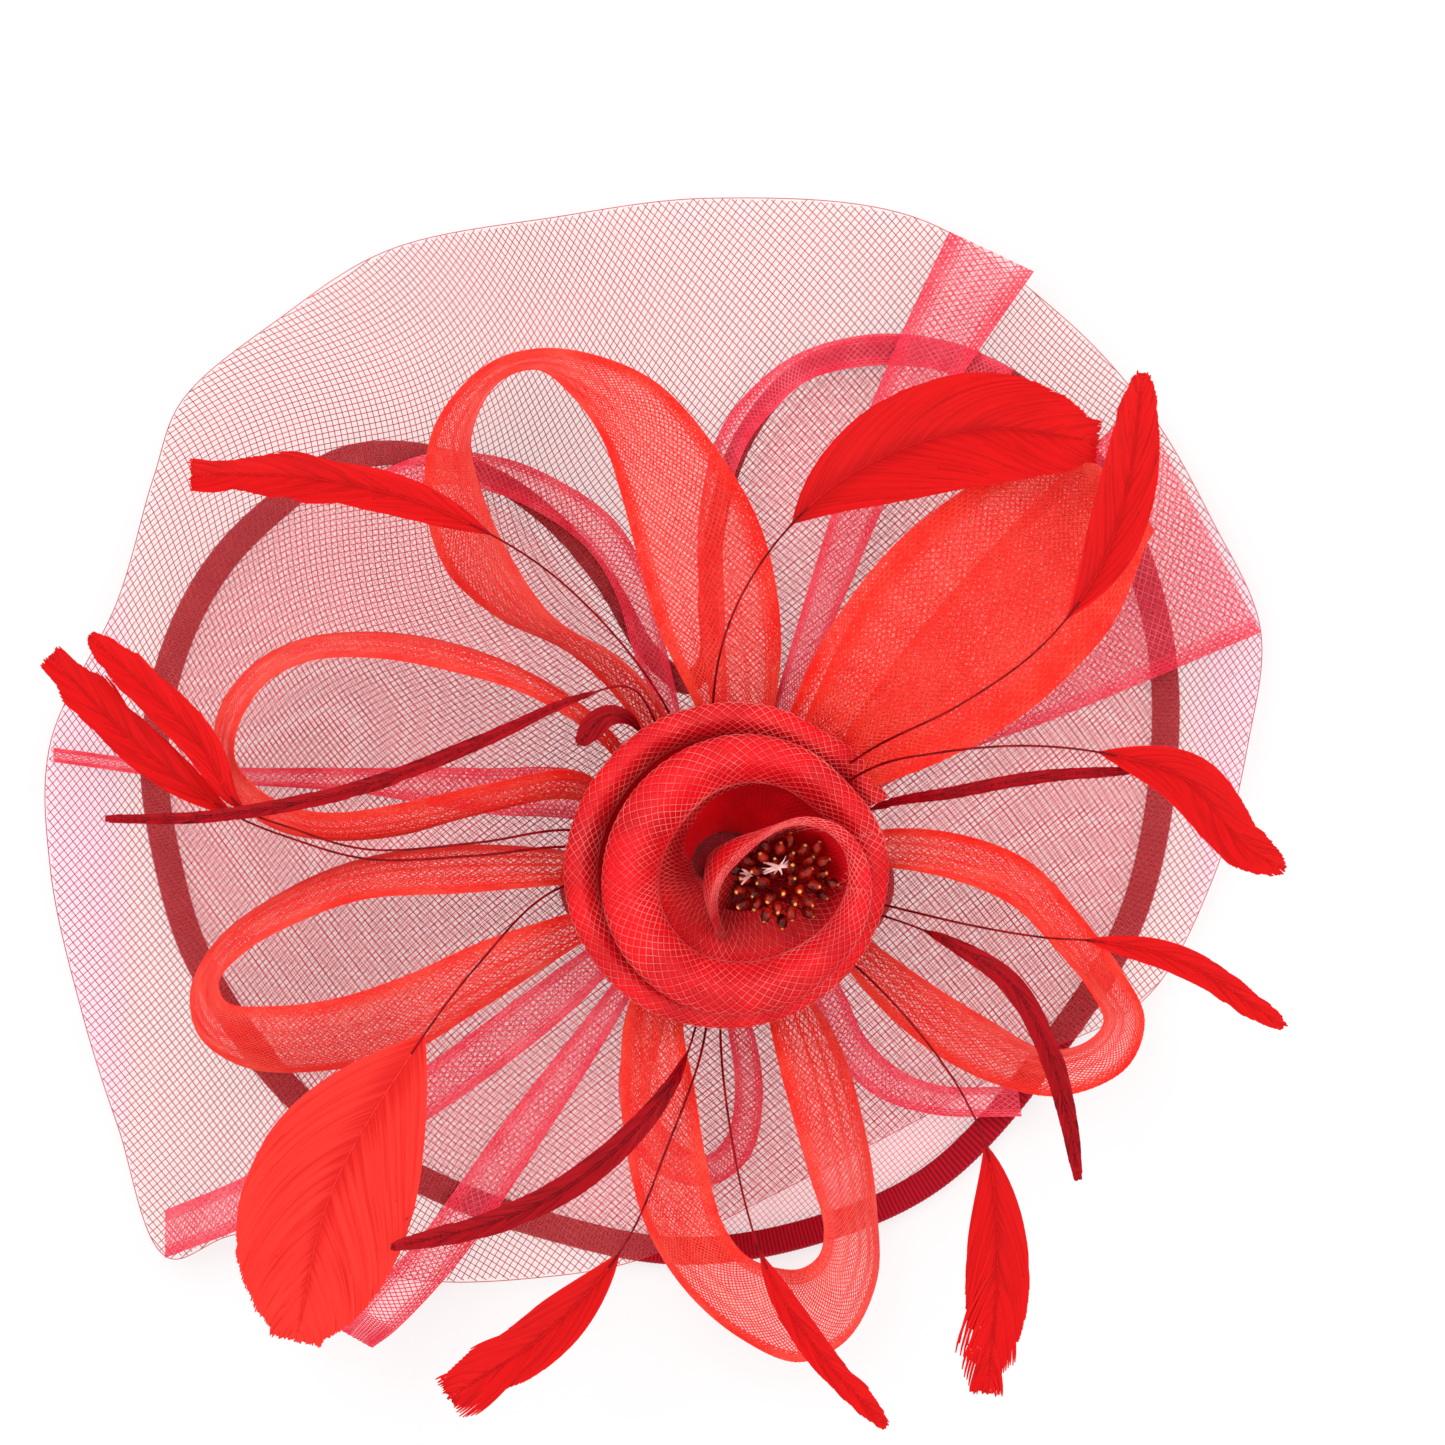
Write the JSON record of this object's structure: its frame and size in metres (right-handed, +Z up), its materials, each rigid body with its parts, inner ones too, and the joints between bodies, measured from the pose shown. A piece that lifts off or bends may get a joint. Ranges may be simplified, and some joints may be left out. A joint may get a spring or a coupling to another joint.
{
  "type": "flower hair clip",
  "caption": "Occasion hair clip: domed heart-shaped net brim with veil, ribbon loops, rolled ribbon flower and feathers on a felt pad with a sprung toothed clip.",
  "frame": {"origin": "on the vertical line through the middle of the flower, in the plane that the bound rim and the clip's finger plate rest on", "axes": "+Z up out of the flower, towards whoever looks at the piece; +X to the right, along the clip towards its handles; +Y towards the cleft of the heart-shaped brim"},
  "size_m": [0.3096, 0.3064, 0.0695],
  "materials": {
    "brim_net": "sheer woven diamond net, pale rose",
    "binding": "ribbed grosgrain ribbon, dark crimson",
    "wire": "thin millinery wire",
    "veil": "open diamond net, pale rose",
    "crinoline": "glossy woven crinoline ribbon, orange red",
    "rose_crinoline": "woven crinoline ribbon, rose red",
    "feather": "dyed goose feather, bright red",
    "dark_feather": "dyed goose feather, dark red",
    "stamen": "lacquered dark red beads on thread",
    "felt": "matted wool felt, crimson",
    "elastic": "narrow woven elastic, crimson",
    "clip_metal": "black enamelled spring steel",
    "rivet": "bright steel"
  },
  "bodies": {
    "headpiece": {"brim_net": "brim_net", "brim_binding": "binding", "brim_wire": "wire", "veil": "veil", "back_pad": "felt", "clip_strip": "felt", "headband_loop_left": "elastic", "headband_loop_right": "elastic", "clip_fixed_jaw": "clip_metal", "clip_pin": "rivet", "clip_spring": "rivet", "flower_base": "felt", "flower_throat": "crinoline", "flower_inner_wrap": "crinoline", "flower_outer_wrap": "crinoline", "stamens": "stamen", "loop_top_left": "crinoline", "loop_left": "crinoline", "loop_lower_left": "crinoline", "loop_bottom": "crinoline", "loop_right": "crinoline", "loop_top_right": "crinoline", "under_loop_top_left": "rose_crinoline", "under_loop_top_right": "rose_crinoline", "under_loop_bottom": "rose_crinoline", "under_loop_lower_right": "rose_crinoline", "tail_top": "rose_crinoline", "tail_right": "rose_crinoline", "tail_left": "rose_crinoline", "tail_lower_left": "rose_crinoline", "tail_bottom_left": "rose_crinoline", "feather_top_left": "feather", "feather_left_upper": "feather", "feather_left_lower": "feather", "feather_left_long": "dark_feather", "feather_left_short": "dark_feather", "feather_lower_left": "feather", "feather_bottom_left": "dark_feather", "feather_bottom": "feather", "feather_bottom_thin": "feather", "feather_right_split": "feather", "feather_right_slender": "dark_feather", "feather_right_lower": "feather", "feather_right_upper": "feather", "feather_right_dark": "dark_feather", "feather_top_right": "feather", "feather_far_right": "feather"},
    "moving_jaw": {"clip_moving_jaw": "clip_metal"}
  },
  "joints": [
    {"name": "clip_hinge", "type": "hinge", "parent": "headpiece", "child": "moving_jaw", "pos_m": [0.019, 0, 0.0079], "axis": [0, -1, 0], "range_deg": [0, 26], "stiffness_Nm_per_rad": 0.12, "springref_deg": -28.65, "deforming": ["clip_spring"]}
  ]
}
